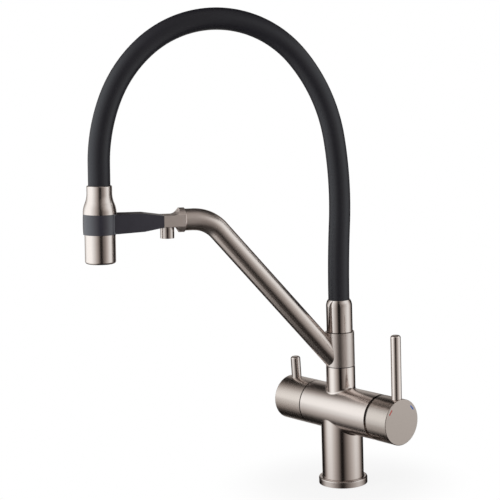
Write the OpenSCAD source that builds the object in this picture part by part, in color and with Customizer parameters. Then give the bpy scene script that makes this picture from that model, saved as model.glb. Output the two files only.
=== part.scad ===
// Three-way kitchen tap for mixed and filtered water, in millimetres.
// The origin is at the middle of the base on the deck, +Z is up and the barrel lies along X:
// the mixer handle is at +X, the filter handle at -X, and the spout's arm turns about Z.

/* [Base] */
// Diameter of the base flange
flange_d = 50; // [47:0.5:60]
// Height of the base flange
flange_h = 6.8; // [5:0.1:10]
// Radius of the flange's upper edge
flange_edge_r = 1.6; // [0.6:0.1:2.4]
// Diameter of the column
column_d = 42.7; // [40:0.1:44]
// Width of the deck gasket
gasket_w = 2.4; // [1.6:0.1:3]
// Thickness of the deck gasket
gasket_t = 2.2; // [1.6:0.1:3]
// Metal left outside the gasket's groove
gasket_margin = 1.4; // [1:0.1:2]
// Diameter of the circle that the hose inlets stand on
inlet_pcd = 21; // [20:0.5:23]
// Drilled diameter of an inlet for an M10x1 hose tail
inlet_d = 9; // [8:0.1:9.5]
// Depth of an inlet
inlet_depth = 14; // [10:0.5:20]
// Drilled diameter of the hole for the M8 fixing stud
stud_d = 6.8; // [5:0.1:7]
// Depth of the fixing stud's hole
stud_depth = 18; // [12:0.5:25]
// Diameter of the drilled waterways
waterway_d = 5.6; // [4:0.1:6]

/* [Barrel] */
// Diameter of the barrel
barrel_d = 46; // [45:0.5:52]
// Height of the barrel's axis above the deck
barrel_z = 77.8; // [70:0.1:95]
// Length of the barrel from the column's axis to the mixer seam
barrel_right = 55.2; // [53:0.1:65]
// Length of the barrel from the column's axis to the filter seam
barrel_left = 38.3; // [36:0.1:50]

/* [Riser] */
// Diameter of the riser stub
riser_d = 29.7; // [28:0.1:32]
// Height of the riser stub's top above the barrel's axis
riser_rise = 44.6; // [38:0.1:55]
// Diameter of the spigot's journal
journal_d = 21.4; // [20:0.1:22]
// Diameter of the spigot's threaded foot
spigot_foot_d = 19; // [17:0.1:20]
// Length of the spigot's threaded foot
spigot_foot_h = 17; // [12:0.5:20]
// Diameter of the mixed-water bore in the riser
riser_bore_d = 9; // [7:0.1:9.6]
// Diameter of the filtered-water channel in the riser
filter_channel_d = 2.4; // [1.6:0.1:2.6]
// Thickness of an O-ring
o_ring_t = 1.6; // [1.2:0.1:2]
// Thickness of the bearing washer
washer_t = 0.7; // [0.5:0.1:1.5]
// Diameter of the spigot's neck above the journal
neck_d = 15; // [13:0.1:16]
// Thickness of the circlip
circlip_t = 1; // [0.8:0.1:1.4]

/* [Spout arm] */
// Direction of the arm at rest, seen from above
arm_azimuth = -114.8; // [-180:0.1:180]
// Diameter of the swivel collar
collar_d = 29.5; // [27:0.1:31]
// Height of the swivel collar
collar_h = 34.8; // [33:0.1:42]
// Thickness of the ledge in the collar that the circlip holds
ledge_t = 1.5; // [1:0.1:2]
// Height at which the arm's centreline meets the riser's axis, above the collar's foot
arm_entry = -0.3; // [-0.5:0.1:3]
// Diameter of the passage from the collar into the arm
passage_d = 6; // [4:0.1:8]
// Slope of the arm
arm_slope = 50.1; // [40:0.1:55]
// Slope of the arm's end
arm_tip_slope = 1.6; // [0:0.1:5]
// Reach of the arm from the riser's axis to the corner of its bend
arm_corner = 132.8; // [110:0.1:160]
// Length of the arm from that corner to its end
arm_end = 25.3; // [20:0.1:40]
// Radius of the arm's bend
arm_bend_r = 34; // [25:0.5:40]
// Diameter of the arm's tube
tube_d = 21.5; // [20:0.1:23]
// Wall of the arm's tube
tube_wall = 1.5; // [1:0.1:2]

/* [Arm fitting] */
// Diameter of the fitting's collar
fitting_d = 24.2; // [23:0.1:27]
// Length of the fitting's collar
fitting_collar = 5.2; // [3:0.1:8]
// Radius of the hollow between collar and tongue
fitting_hollow_r = 6.4; // [4:0.1:7]
// Length of the tongue past the hollow
tongue_l = 9.8; // [8:0.1:14]
// Width of the tongue
tongue_w = 21.6; // [18:0.1:23]
// Height of the tongue
tongue_h = 11.4; // [9:0.1:12]
// Drop of the tongue below the tube's axis
tongue_drop = 0.4; // [0:0.1:2]
// Length of the tenon inside the holder
tenon_l = 15; // [10:0.5:20]
// Width of the tenon
tenon_w = 12; // [10:0.5:14]
// Height of the tenon
tenon_h = 6; // [5:0.1:7]
// Distance of the water outlet from the tube's end
outlet_x = 16.5; // [16:0.1:20]
// Diameter of the outlet's sleeve
outlet_d = 13.8; // [12.6:0.1:15]
// Length of the outlet's sleeve
outlet_l = 11.5; // [9:0.1:16]
// Diameter of the nipple that carries the sleeve
nipple_d = 10; // [9:0.1:10.4]
// Length of the nipple
nipple_l = 5; // [4:0.1:6]

/* [Holder] */
// Distance of the ring's axis from the tube's end
dock_reach = 82.6; // [76:0.1:95]
// Drop of the ring's middle below the tube's axis
ring_drop = 1.5; // [0:0.1:3]
// Height of the ring
ring_h = 19.7; // [19:0.1:28]
// Wall of the ring
ring_wall = 1.2; // [1:0.1:2]
// Bulge of the ring's outside
ring_bulge = 0.3; // [0.1:0.05:0.5]
// Width of the holder's arm
holder_w = 21; // [18:0.1:22]
// Distance from the fitting to the holder's shoulder
shoulder_x = 19.4; // [12:0.1:25]
// Height of the shoulder above the tube's axis
shoulder_up = 8.1; // [6:0.1:9]
// Depth of the shoulder below the tube's axis
shoulder_down = 9.5; // [8:0.1:11]
// Height of the arm above the tube's axis at the ring
root_up = 8.2; // [5:0.1:9]
// Depth of the arm below the tube's axis at the ring
root_down = 10.8; // [9:0.1:13]
// Radius of the hollow between arm and ring
root_fillet_r = 5; // [3:0.1:8]
// Radius of the round pads beside the ring
pad_r = 9; // [7:0.1:9.2]
// Height of the pads above the arm's sides
pad_t = 0.6; // [0.3:0.1:1]
// Distance of the pads' middle from the ring's axis
pad_back = 17.4; // [15:0.1:20]

/* [Spray head] */
// Diameter of the head's shell
shell_d = 30; // [28:0.1:33]
// Length of the shell below the ring
shell_below = 28.5; // [24:0.1:40]
// Radius of the shell's lower edge
shell_edge_r = 2.4; // [1:0.1:3]
// Diameter of the bell at its foot
bell_d = 32.5; // [32:0.1:35]
// Diameter of the bell's neck
bell_neck_d = 24.6; // [24:0.1:26]
// Height of the bell
bell_h = 27.3; // [26:0.1:36]
// Height of the straight foot of the bell
bell_foot = 0.5; // [0.4:0.1:4]
// Height of the curve between foot and neck
bell_curve = 19.7; // [15:0.1:20]
// Diameter of the nozzle insert
nozzle_d = 23; // [20:0.1:24]
// Number of the jets in the nozzle's ring
jet_count = 12; // [8:1:18]
// Diameter of a jet
jet_d = 1.8; // [1:0.1:2.4]

/* [Hose] */
// Outer diameter of the hose
hose_d = 21.5; // [20:0.1:22]
// Bore of the hose
hose_bore_d = 14; // [12:0.1:15]
// Diameter of the ferrule at the riser
ferrule_d = 26.6; // [26:0.1:29]
// Height of the ferrule
ferrule_h = 33.2; // [26:0.1:36]
// Thickness of the ferrule's floor
ferrule_floor = 5; // [4:0.1:7]
// Height of the ferrule's rounded shoulder
ferrule_shoulder = 6.6; // [4:0.1:9]
// Wall of the ferrule at its mouth
ferrule_lip = 0.6; // [0.4:0.1:1]
// Angle by which the hose bows away from the arm as it leaves the ferrule
bow_angle = 3.7; // [2:0.1:6]
// Radius of that bow
bow_r = 1185; // [900:1:1400]
// Angle of the long curve up the riser side
climb_angle = 12.2; // [8:0.1:16]
// Radius of that curve
climb_r = 412; // [350:1:480]
// Angle of the curve towards the crown
rise_angle = 31; // [25:0.1:36]
// Radius of that curve
rise_r = 166; // [140:1:190]
// Angle of the crown
crown_angle = 90.4; // [80:0.1:96]
// Angle of the curve after the crown
fall_angle = 27; // [20:0.1:32]
// Radius of that curve
fall_r = 127.5; // [110:0.5:150]
// Radius of the last curve above the head
drop_r = 172; // [140:1:200]
// Straight length of hose above the head
head_straight = 20; // [12:0.5:40]

/* [Mixer cartridge] */
// Depth of the cartridge's cavity
mixer_cavity = 29.2; // [28.8:0.1:32]
// Diameter of the cartridge's housing
cartridge_d = 34.8; // [33:0.1:36]
// Length of the cartridge's housing
cartridge_h = 24; // [23.5:0.1:24.4]
// Wall of the housing
cartridge_wall = 2.8; // [2:0.1:3]
// Thickness of the housing's floor
cartridge_floor = 2.6; // [2:0.1:3]
// Thickness of the housing's lip
cartridge_lip = 3.4; // [3:0.1:3.8]
// Diameter of the ring nut
nut_d = 39; // [37.5:0.1:40.5]
// Distance of the ring nut below the barrel's end
nut_set_back = 0.4; // [0.2:0.1:0.8]
// Thickness of a ceramic disc
disc_t = 4; // [3.5:0.1:4.2]
// Diameter of the moving disc
moving_disc_d = 21; // [20:0.1:21.4]
// Thickness of the disc's driver
driver_t = 5; // [4.6:0.1:5.2]
// Diameter of a port in the discs
port_d = 5; // [4:0.1:5.4]
// Height of the hot and cold ports below the barrel's axis
port_drop = 3; // [2:0.1:4]
// Height of the mixed-water port above the barrel's axis
port_rise = 8; // [7:0.1:9]
// Diameter of the carrier's neck
carrier_d = 22; // [21:0.1:23]
// Diameter of the tilt pin
pin_d = 3; // [2.5:0.1:3.5]
// Side of the square stem
stem_w = 8; // [7:0.1:8.4]
// Radius of the ball on the stem's inner end
ball_r = 3; // [2.6:0.1:3.2]
// Depth to which the ball's middle goes into the driver
ball_depth = 1.8; // [1.4:0.1:2.2]

/* [Mixer handle] */
// Gap between the barrel and the handle's cap
cap_gap = 2.5; // [2:0.1:3.5]
// Length of the cap
cap_l = 27.6; // [26:0.1:35]
// Thickness of the cap's solid end
cap_end = 14.3; // [13:0.1:15]
// Wall of the cap
cap_wall = 3; // [2:0.1:4]
// Angle through which the lever tilts the cap
flow_angle = 12; // [8:0.5:12]
// Angle of the relief under the cap
cap_relief = 7.6; // [6:0.1:11]
// Radius of the edges of both caps
cap_edge_r = 0.8; // [0.4:0.1:1.5]
// Diameter of both lever rods
lever_d = 10.2; // [8:0.1:11]
// Distance of the lever's axis from the cap's face
lever_inset = 6.2; // [6:0.1:7.6]
// Height of the lever's top above the barrel's axis
lever_top = 86.6; // [70:0.1:110]
// Radius of the lever's top edge
lever_edge_r = 2.6; // [0.6:0.1:3]
// Depth to which a lever is let into its cap
lever_seat = 2.4; // [1.5:0.1:3]
// Diameter of a lever's threaded stud
lever_stud_d = 6; // [5:0.1:7]
// Length of a lever's threaded stud
lever_stud_l = 12; // [9:0.1:13]
// Length of a colour mark on the cap's face
mark_l = 6; // [4:0.1:8]
// Width of a colour mark
mark_w = 1.4; // [1:0.1:2]
// Depth of a colour mark
mark_t = 0.4; // [0.3:0.05:0.6]
// Distance of the marks from the cap's axis
mark_r = 19.4; // [17:0.1:20]
// Angle of the marks from the top
mark_angle = 50; // [35:1:70]
// Diameter of the grub screws
grub_d = 5; // [4:0.1:5.5]
// Length of the grub screws
grub_l = 8; // [6:0.1:10]

/* [Filter handle] */
// Gap between the barrel and the filter cap
filter_gap = 0.6; // [0.4:0.1:1]
// Length of the filter cap
filter_cap_l = 39; // [36:0.1:45]
// Thickness of the filter cap's solid end
filter_cap_end = 20.6; // [18:0.1:21]
// Distance of the filter lever's axis from the cap's end
filter_lever_inset = 11.3; // [7:0.1:12]
// Height of the filter lever's top above the barrel's axis
filter_lever_top = 45.4; // [40:0.1:60]
// Radius of the filter lever's top edge
filter_lever_edge_r = 2.6; // [1:0.1:3]
// Angle at which the filter lever stands off the vertical when closed
filter_rest = 3; // [0:0.5:6]
// Diameter of the valve's thread
valve_d = 22; // [20:0.1:24]
// Depth of the valve's cavity
valve_cavity = 20; // [18:0.1:21]
// Width across the flats of the valve's hexagon
valve_hex = 26; // [24.5:0.5:30]
// Height of the hexagon
valve_hex_h = 5.5; // [4:0.1:7]
// Diameter of the valve's neck
valve_neck_d = 18; // [16:0.1:20]
// Height of the neck above the hexagon
valve_neck_h = 10; // [8:0.1:11]
// Diameter of the valve's spindle
spindle_d = 10; // [8.6:0.1:11]
// Side of the spindle's square end
spindle_w = 7; // [5:0.1:7]
// Length of the spindle's square end
spindle_l = 9; // [7:0.1:11]
// Diameter of the filter valve's discs
valve_disc_d = 16; // [14:0.1:16.6]
// Thickness of the filter valve's discs
valve_disc_t = 3; // [2.5:0.1:3.5]

/* [Clearances] */
// Radial play of a running fit
run_fit = 0.08; // [0.03:0.01:0.1]
// Radial play of pieces that are fixed together
fixed_fit = 0.05; // [0.02:0.01:0.1]
// Gap between flat faces that move on each other
face_gap = 0.1; // [0.05:0.01:0.3]
// Radial play between the spray head and its ring
dock_fit = 0.3; // [0.2:0.05:0.5]

/* [Hidden] */
$fn = 64;

// Colours as the photograph shows them, with plain ones for what is inside
nickel = [0.66, 0.61, 0.56];
black_silicone = [0.10, 0.10, 0.11];
black_plastic = [0.17, 0.17, 0.19];
raw_brass = [0.78, 0.63, 0.34];
ceramic = [0.93, 0.92, 0.88];
seal_rubber = [0.14, 0.14, 0.14];
white_plastic = [0.86, 0.86, 0.84];
steel = [0.68, 0.69, 0.70];
hot_red = [0.72, 0.16, 0.14];
cold_blue = [0.16, 0.27, 0.62];

// Length by which a cutting tool runs past the face that it opens
past = 1;
// Length and thickness by which the lengths of a bent tube lap
lap_l = 0.5;
lap_t = 0.06;
// Diameters that the ends of the hose fit into and over
hose_seat_d = hose_d + 2 * (lap_t + fixed_fit);
barb_d = hose_bore_d - 2 * (lap_t + fixed_fit);

// Heights on the riser's axis
riser_top = barrel_z + riser_rise;
collar_z = riser_top + washer_t + face_gap;
collar_top = collar_z + collar_h;
plug_h = 0.5;
neck_top = collar_top - plug_h - face_gap;
circlip_z = neck_top - 2 * circlip_t;
ledge_z = circlip_z - ledge_t - 2 * face_gap;
journal_top = ledge_z - 2 * face_gap;
journal_h = journal_top - riser_top;
ferrule_top = collar_top + ferrule_h;
tail_z = collar_top + ferrule_floor;
tail_seal_t = 1;
tail_flange_t = 2;
hose_start = tail_z + tail_seal_t + tail_flange_t + fixed_fit;

// The journal's seals: two below the filtered-water chamber and one above it
seal_heights = [4.6, 8.4, journal_h - 3.2];
chamber_low = 12;
chamber_high = journal_h - 7;
chamber_d = journal_d - 4;
channel_r = (riser_bore_d + chamber_d) / 4 + 0.3;

// The arm in its own plane, where x runs out from the riser and y is height
arm_z = collar_z + arm_entry;
corner = [arm_corner, arm_z + arm_corner * tan(arm_slope)];
arm_turn = arm_slope - arm_tip_slope;
bend_tangent = arm_bend_r * tan(arm_turn / 2);
slope_run = arm_corner / cos(arm_slope) - bend_tangent;
tip = corner + arm_end * [cos(arm_tip_slope), sin(arm_tip_slope)];

// The fitting and the holder, measured from the tube's end
hollow_x = fitting_collar + fitting_hollow_r;
tongue_end = hollow_x + tongue_l;
tongue_top = -tongue_drop + tongue_h / 2;
tongue_bottom = -tongue_drop - tongue_h / 2;
screw_d = 3;
screw_head_d = 5.4;
screw_head_h = 2;
screw_head_cover = 1.2;
screw_x = tongue_end + tenon_l / 2;
seat_y = ring_h / 2 - ring_drop;
ring_bore_d = shell_d + 2 * dock_fit;
ring_d = ring_bore_d + 2 * ring_wall;

// Heights in the spray head, from the top of the holder's ring
shell_spigot_d = bell_neck_d + 2;
shell_spigot_h = 5;
head_seal_t = 1;
head_tail_h = shell_spigot_h + head_seal_t;
shell_low = -ring_h - shell_below;
nozzle_h = 9;
nozzle_z = shell_low + 0.6;

// The hose: turns of its curves, and the crown's radius that brings it over the head
drop_angle = 180 - arm_tip_slope + bow_angle - climb_angle - rise_angle - crown_angle - fall_angle;
turns = [-bow_angle, climb_angle, rise_angle, crown_angle, fall_angle, drop_angle];
crown = 3;
function heading(i) = i == 0 ? 90 : heading(i - 1) - turns[i - 1];
function unit_arc(h, a) = sign(a) * [sin(h) - sin(h - a), cos(h - a) - cos(h)];
steps = [for (i = [0 : len(turns) - 1]) unit_arc(heading(i), turns[i])];
side_radii = [bow_r, climb_r, rise_r, 0, fall_r, drop_r];
side_run = side_radii * steps;
function head_point(h) = tip + dock_reach * [cos(arm_tip_slope), sin(arm_tip_slope)]
    + (seat_y + h) * [-sin(arm_tip_slope), cos(arm_tip_slope)];
function crown_radius(end) = (end[0] - side_run[0]) / steps[crown][0];
function lower_run(end) = end[1] - hose_start - side_run[1] - crown_radius(end) * steps[crown][1];
hose_end_h = head_tail_h + tail_flange_t + fixed_fit;
least_lower_run = ferrule_top - hose_start;
upper_run = bell_h - hose_end_h + head_straight
    + max(0, least_lower_run - lower_run(head_point(bell_h + head_straight)));
arch_end = head_point(hose_end_h + upper_run);
radii = [bow_r, climb_r, rise_r, crown_radius(arch_end), fall_r, drop_r];
function hose_corner(i) = i == 0 ? [0, hose_start + lower_run(arch_end)]
    : hose_corner(i - 1) + radii[i - 1] * steps[i - 1];

// Stations of the mixer cartridge along the barrel
mixer_floor = barrel_right - mixer_cavity;
seal_gap = 0.3;
housing_x = mixer_floor + seal_gap;
fixed_disc_x = housing_x + cartridge_floor;
moving_disc_x = fixed_disc_x + disc_t + face_gap;
driver_x = moving_disc_x + disc_t;
flange_x = driver_x + driver_t + 3 * face_gap;
housing_end = housing_x + cartridge_h;
lip_x = housing_end - cartridge_lip;
cartridge_bore_d = cartridge_d - 2 * cartridge_wall;
nut_x = housing_end;
cap_x = barrel_right + cap_gap;
cap_face = cap_x + cap_l;
cap_solid = cap_face - cap_end;
lever_x = cap_face - lever_inset;
carrier_end = cap_x + 5.3;
ball_x = driver_x + driver_t - ball_depth;
stem_end = cap_solid + 9;
ball_neck_d = 2 * ball_r - 1.6;
slot_w = stem_w + 4 * face_gap;
slot_h = 8 * face_gap + 2 * max(stem_w / 2 + (carrier_end - cap_x) * sin(flow_angle),
    ball_r + (cap_x - ball_x) * sin(flow_angle));
inlet_angles = [180, 60, -60];
port_y = inlet_pcd / 2 * sin(60);
ports = [[-port_drop, port_y], [-port_drop, -port_y], [port_rise, 0]];

// Stations of the filter valve, measured outwards from the column's axis
valve_floor = barrel_left - valve_cavity;
valve_seal_t = 1;
valve_x = valve_floor + valve_seal_t;
valve_disc_x = valve_x + 1.2;
valve_moving_x = valve_disc_x + valve_disc_t + face_gap;
spindle_x = valve_moving_x + valve_disc_t;
spindle_flange_t = 3;
valve_shoulder = spindle_x + spindle_flange_t + 2 * face_gap;
valve_neck_x = barrel_left + valve_hex_h;
valve_end = valve_neck_x + valve_neck_h;
filter_cap_x = barrel_left + filter_gap;
filter_cap_face = filter_cap_x + filter_cap_l;
filter_cap_solid = filter_cap_face - filter_cap_end;
filter_lever_x = filter_cap_face - filter_lever_inset;
valve_bore_d = valve_disc_d + 0.4;
valve_port_x = spindle_x;

// Sloping channel from the filter valve's side to the riser
channel_up = barrel_d / 2 - 6;
channel_drop = channel_up - valve_d / 2 + 1;
channel_fall = -atan2(channel_drop, valve_port_x - channel_r);
channel_run = norm([channel_drop, valve_port_x - channel_r]);

// Placement: x is up and z runs out along the barrel, y is to the front on the mixer side
module on_mixer_side() {
    translate([0, 0, barrel_z]) rotate([0, 90, 0]) rotate([0, 0, 180]) children();
}

// Placement: x is up and z runs out along the barrel, y is to the back on the filter side
module on_filter_side() {
    translate([0, 0, barrel_z]) rotate([0, -90, 0]) children();
}

// Placement: the filter handle's pieces as they stand when the valve is closed
module on_filter_handle() {
    on_filter_side() rotate([0, 0, -filter_rest]) children();
}

// Placement: x runs out from the riser along the arm and y is height
module in_arm_plane() {
    rotate([0, 0, arm_azimuth]) rotate([90, 0, 0]) children();
}

// Placement: x runs on from the tube's end and y is square to it
module at_tip() {
    in_arm_plane() translate([tip[0], tip[1], 0]) rotate([0, 0, arm_tip_slope]) children();
}

// Placement: z is the spray head's axis, from the top of the holder's ring
module at_dock() {
    at_tip() translate([dock_reach, seat_y, 0]) rotate([-90, 0, 0]) children();
}

// Placement: z points down along the outlet's axis, from the tongue's underside
module at_outlet() {
    at_tip() translate([outlet_x, tongue_bottom, 0]) rotate([90, 0, 0]) children();
}

module rod(z0, z1, d) {
    translate([0, 0, z0]) cylinder(d = d, h = z1 - z0);
}

module ring(z0, z1, outer, inner) {
    difference() {
        rod(z0, z1, outer);
        rod(z0 - past, z1 + past, inner);
    }
}

// Half outline of a turned piece with its upper outer edge rounded
module turned_half(r, h, edge) {
    square([r - edge, h]);
    square([r, h - edge]);
    intersection() {
        translate([r - edge, h - edge]) circle(r = edge);
        translate([r - edge, h - edge]) square(edge);
    }
}

// Round bar with a rounded top edge
module rounded_rod(z0, z1, d, edge) {
    translate([0, 0, z0]) rotate_extrude() turned_half(d / 2, z1 - z0, edge);
}

module o_ring(r, t) {
    rotate_extrude() translate([r, 0]) circle(d = t);
}

// Foot of the tap

module base_flange() {
    color(nickel)
    difference() {
        rounded_rod(0, flange_h, flange_d, flange_edge_r);
        rod(-past, flange_h + past, column_d + 2 * fixed_fit);
    }
}

// The gasket, or with some play the groove that it lies in
module gasket_ring(foot, play) {
    outer = column_d - 2 * gasket_margin;
    ring(foot, gasket_t + play, outer + 2 * play, outer - 2 * gasket_w - 2 * play);
}

module deck_gasket() {
    color(seal_rubber) gasket_ring(0, 0);
}

module inlets() {
    for (a = inlet_angles)
        rotate([0, 0, a]) translate([inlet_pcd / 2, 0, 0]) {
            rod(-past, inlet_depth, inlet_d);
            rod(-past, barrel_z - port_drop + past, waterway_d);
        }
    rod(-past, stud_depth, stud_d);
}

// Drillings that lead from the inlets to both valves and from the valves to the riser
module waterways() {
    inlet_x = inlet_pcd / 2;
    cross_d = waterway_d - 0.6;
    on_mixer_side() {
        for (side = [-1, 1])
            translate([-port_drop, side * port_y, 0]) rod(inlet_x / 2 - past, mixer_floor + past, cross_d);
        translate([port_rise, 0, 0]) rod(past, mixer_floor + past, cross_d);
    }
    on_filter_side() {
        translate([-port_drop, 0, 0]) rod(inlet_x - past, valve_floor + past, cross_d);
        translate([channel_up, 0, channel_r]) rotate([0, channel_fall, 0])
            rod(0, channel_run, filter_channel_d - 0.4);
    }
    rod(barrel_z + port_rise - past, riser_top + past, riser_bore_d);
    translate([-channel_r, 0, 0]) rod(barrel_z + channel_up - past, riser_top + past, filter_channel_d);
}

module tap_body() {
    color(nickel)
    difference() {
        union() {
            rod(0, barrel_z, column_d);
            on_mixer_side() rod(-barrel_left, barrel_right, barrel_d);
            rod(barrel_z, riser_top, riser_d);
        }
        gasket_ring(-past, fixed_fit);
        inlets();
        waterways();
        on_mixer_side() {
            rod(mixer_floor, barrel_right + past, cartridge_d + 2 * fixed_fit);
            rod(nut_x, barrel_right + past, nut_d + 2 * fixed_fit);
        }
        on_filter_side() rod(valve_floor, barrel_left + past, valve_d + 2 * fixed_fit);
        rod(riser_top - spigot_foot_h, riser_top + past, spigot_foot_d + 2 * fixed_fit);
    }
}

// Mixer cartridge

module port_holes(z0, z1, d) {
    for (p = ports) translate([p[0], p[1], 0]) rod(z0, z1, d);
}

module cartridge_housing() {
    seal_pocket = seal_gap + 1;
    color(white_plastic)
    on_mixer_side()
    difference() {
        rod(housing_x, housing_end, cartridge_d);
        rod(fixed_disc_x, lip_x, cartridge_bore_d);
        rod(fixed_disc_x, housing_end + past, carrier_d + 2 * run_fit);
        port_holes(mixer_floor, fixed_disc_x + past, port_d);
        port_holes(mixer_floor, mixer_floor + seal_pocket, waterway_d + 3 + 2 * fixed_fit);
    }
}

module cartridge_seals() {
    color(seal_rubber)
    on_mixer_side()
    for (p = ports)
        translate([p[0], p[1], 0])
            ring(mixer_floor, mixer_floor + seal_gap + 1, waterway_d + 3, waterway_d);
}

module fixed_disc() {
    color(ceramic)
    on_mixer_side()
    difference() {
        rod(fixed_disc_x, fixed_disc_x + disc_t, cartridge_bore_d - 2 * fixed_fit);
        port_holes(fixed_disc_x - past, fixed_disc_x + disc_t + past, port_d);
    }
}

module cartridge_nut() {
    nut_end = barrel_right - nut_set_back;
    key_w = 4;
    key_h = (nut_end - nut_x) / 3;
    color(raw_brass)
    on_mixer_side()
    difference() {
        ring(nut_x, nut_end, nut_d, carrier_d + 2);
        for (a = [0, 90])
            rotate([0, 0, a])
                translate([-nut_d, -key_w / 2, nut_end - key_h]) cube([2 * nut_d, key_w, key_h + past]);
    }
}

module cartridge_carrier() {
    color(white_plastic)
    on_mixer_side()
    difference() {
        union() {
            rod(flange_x, lip_x - 2 * face_gap, cartridge_bore_d - 4 * face_gap);
            rod(flange_x, carrier_end, carrier_d);
        }
        translate([-slot_h / 2, -slot_w / 2, flange_x - past])
            cube([slot_h, slot_w, carrier_end - flange_x + 2 * past]);
        translate([0, 0, cap_x]) rotate([90, 0, 0])
            translate([0, 0, -carrier_d]) cylinder(d = pin_d + 2 * fixed_fit, h = 2 * carrier_d);
    }
}

module pivot_pin() {
    pin_l = carrier_d - 1;
    color(steel)
    on_mixer_side()
    translate([0, 0, cap_x]) rotate([90, 0, 0])
        translate([0, 0, -pin_l / 2]) cylinder(d = pin_d, h = pin_l);
}

module moving_disc() {
    channel_l = 2 * port_rise;
    color(ceramic)
    on_mixer_side()
    difference() {
        rod(moving_disc_x, driver_x, moving_disc_d);
        translate([-channel_l / 2, -port_d / 2, moving_disc_x - past])
            cube([channel_l, port_d, past + disc_t / 2]);
    }
}

module disc_driver() {
    color(white_plastic)
    on_mixer_side()
    difference() {
        rod(driver_x, driver_x + driver_t, moving_disc_d);
        rod(ball_x - ball_r - face_gap, driver_x + driver_t + past, 2 * (ball_r + face_gap));
    }
}

module cartridge_stem() {
    hub_x = cap_x - stem_w / 2;
    color(steel)
    on_mixer_side()
    difference() {
        union() {
            translate([0, 0, ball_x]) sphere(r = ball_r);
            rod(ball_x, hub_x, ball_neck_d);
            translate([-stem_w / 2, -stem_w / 2, hub_x]) cube([stem_w, stem_w, stem_end - hub_x]);
        }
        translate([0, 0, cap_x]) rotate([90, 0, 0])
            translate([0, 0, -stem_w]) cylinder(d = pin_d + 2 * run_fit, h = 2 * stem_w);
    }
}

// Handles

// Shell of a handle: a cup with a solid end, its lever's seat and the grub screw's hole
module handle_cap(z0, z1, solid, wall, lever_at, grub_at) {
    crown_r = barrel_d / 2;
    difference() {
        rounded_rod(z0, z1, barrel_d, cap_edge_r);
        rod(z0 - past, solid, barrel_d - 2 * wall);
        translate([crown_r - lever_seat, 0, lever_at]) rotate([0, 90, 0])
            rod(0, lever_seat + past, lever_d + 2 * fixed_fit);
        translate([crown_r - lever_seat, 0, lever_at]) rotate([0, -90, 0])
            rod(-past, lever_stud_l + fixed_fit, lever_stud_d + 2 * fixed_fit);
        translate([0, 0, grub_at]) rotate([0, -90, 0])
            rod(0, crown_r + past, grub_d + 2 * fixed_fit);
    }
}

module lever_rod(top, lever_at, edge) {
    seat = barrel_d / 2 - lever_seat;
    translate([0, 0, lever_at]) rotate([0, 90, 0]) {
        rounded_rod(seat, top, lever_d, edge);
        rod(seat - lever_stud_l, seat, lever_stud_d);
    }
}

module grub_screw(grub_at, stop) {
    key_d = grub_d / 2;
    translate([0, 0, grub_at]) rotate([0, -90, 0])
    difference() {
        rod(stop, stop + grub_l, grub_d);
        translate([0, 0, stop + grub_l - key_d]) cylinder(d = key_d, h = key_d + past, $fn = 6);
    }
}

// Outline of a colour mark, lying along the face's rim
module mark(side, grow) {
    rotate([0, 0, side * mark_angle])
        translate([mark_r - mark_w / 2 - grow, -mark_l / 2 - grow, cap_face - mark_t])
            cube([mark_w + 2 * grow, mark_l + 2 * grow, mark_t + (grow > 0 ? past : 0)]);
}

module mixer_cap() {
    relief_l = barrel_d;
    grub_at = stem_end - grub_d;
    color(nickel)
    on_mixer_side()
    difference() {
        handle_cap(cap_x, cap_face, cap_solid, cap_wall, lever_x, grub_at);
        translate([-stem_w / 2 - fixed_fit, -stem_w / 2 - fixed_fit, cap_solid - past])
            cube([stem_w + 2 * fixed_fit, stem_w + 2 * fixed_fit, stem_end - cap_solid + past]);
        translate([0, barrel_d, cap_x]) rotate([90, 0, 0]) linear_extrude(2 * barrel_d)
            polygon([[0, 0], [-relief_l, relief_l * tan(cap_relief)], [-relief_l, -past], [0, -past]]);
        for (side = [-1, 1]) mark(side, fixed_fit);
    }
}

module mixer_lever() {
    color(nickel) on_mixer_side() lever_rod(lever_top, lever_x, lever_edge_r);
}

module mixer_grub_screw() {
    color(steel) on_mixer_side() grub_screw(stem_end - grub_d, stem_w / 2 + fixed_fit);
}

module hot_mark() {
    color(hot_red) on_mixer_side() mark(1, 0);
}

module cold_mark() {
    color(cold_blue) on_mixer_side() mark(-1, 0);
}

// Filter valve

module filter_valve_body() {
    color(raw_brass)
    on_filter_side()
    difference() {
        union() {
            rod(valve_x, barrel_left, valve_d);
            rod(barrel_left, valve_end, valve_neck_d);
            translate([0, 0, barrel_left]) cylinder(d = valve_hex / cos(30), h = valve_hex_h, $fn = 6);
        }
        rod(valve_x - past, valve_end + past, spindle_d + 2 * run_fit);
        rod(valve_x - past, valve_shoulder, valve_bore_d);
        ring(valve_port_x - port_d / 2, valve_port_x + port_d / 2, valve_d + past, valve_d - 2);
        for (a = [0, 90])
            rotate([0, 0, a]) translate([0, 0, valve_port_x]) rotate([90, 0, 0])
                rod(-valve_d, valve_d, port_d - 1);
    }
}

module filter_seat_seal() {
    color(seal_rubber) on_filter_side() ring(valve_floor, valve_x, valve_d, valve_bore_d);
}

// Ceramic disc with a quarter of its face open on both sides of the axis
module quarter_disc(z0) {
    open_r = valve_disc_d / 2 - 2;
    difference() {
        rod(z0, z0 + valve_disc_t, valve_disc_d);
        for (a = [0, 180])
            rotate([0, 0, a]) translate([0, 0, z0 - past])
                linear_extrude(valve_disc_t + 2 * past)
                    intersection() {
                        circle(r = open_r);
                        translate([0.8, 0.8]) square(open_r);
                    }
    }
}

module filter_fixed_disc() {
    color(ceramic) on_filter_side() quarter_disc(valve_disc_x);
}

module filter_moving_disc() {
    color(ceramic) on_filter_handle() rotate([0, 0, 90]) quarter_disc(valve_moving_x);
}

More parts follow.
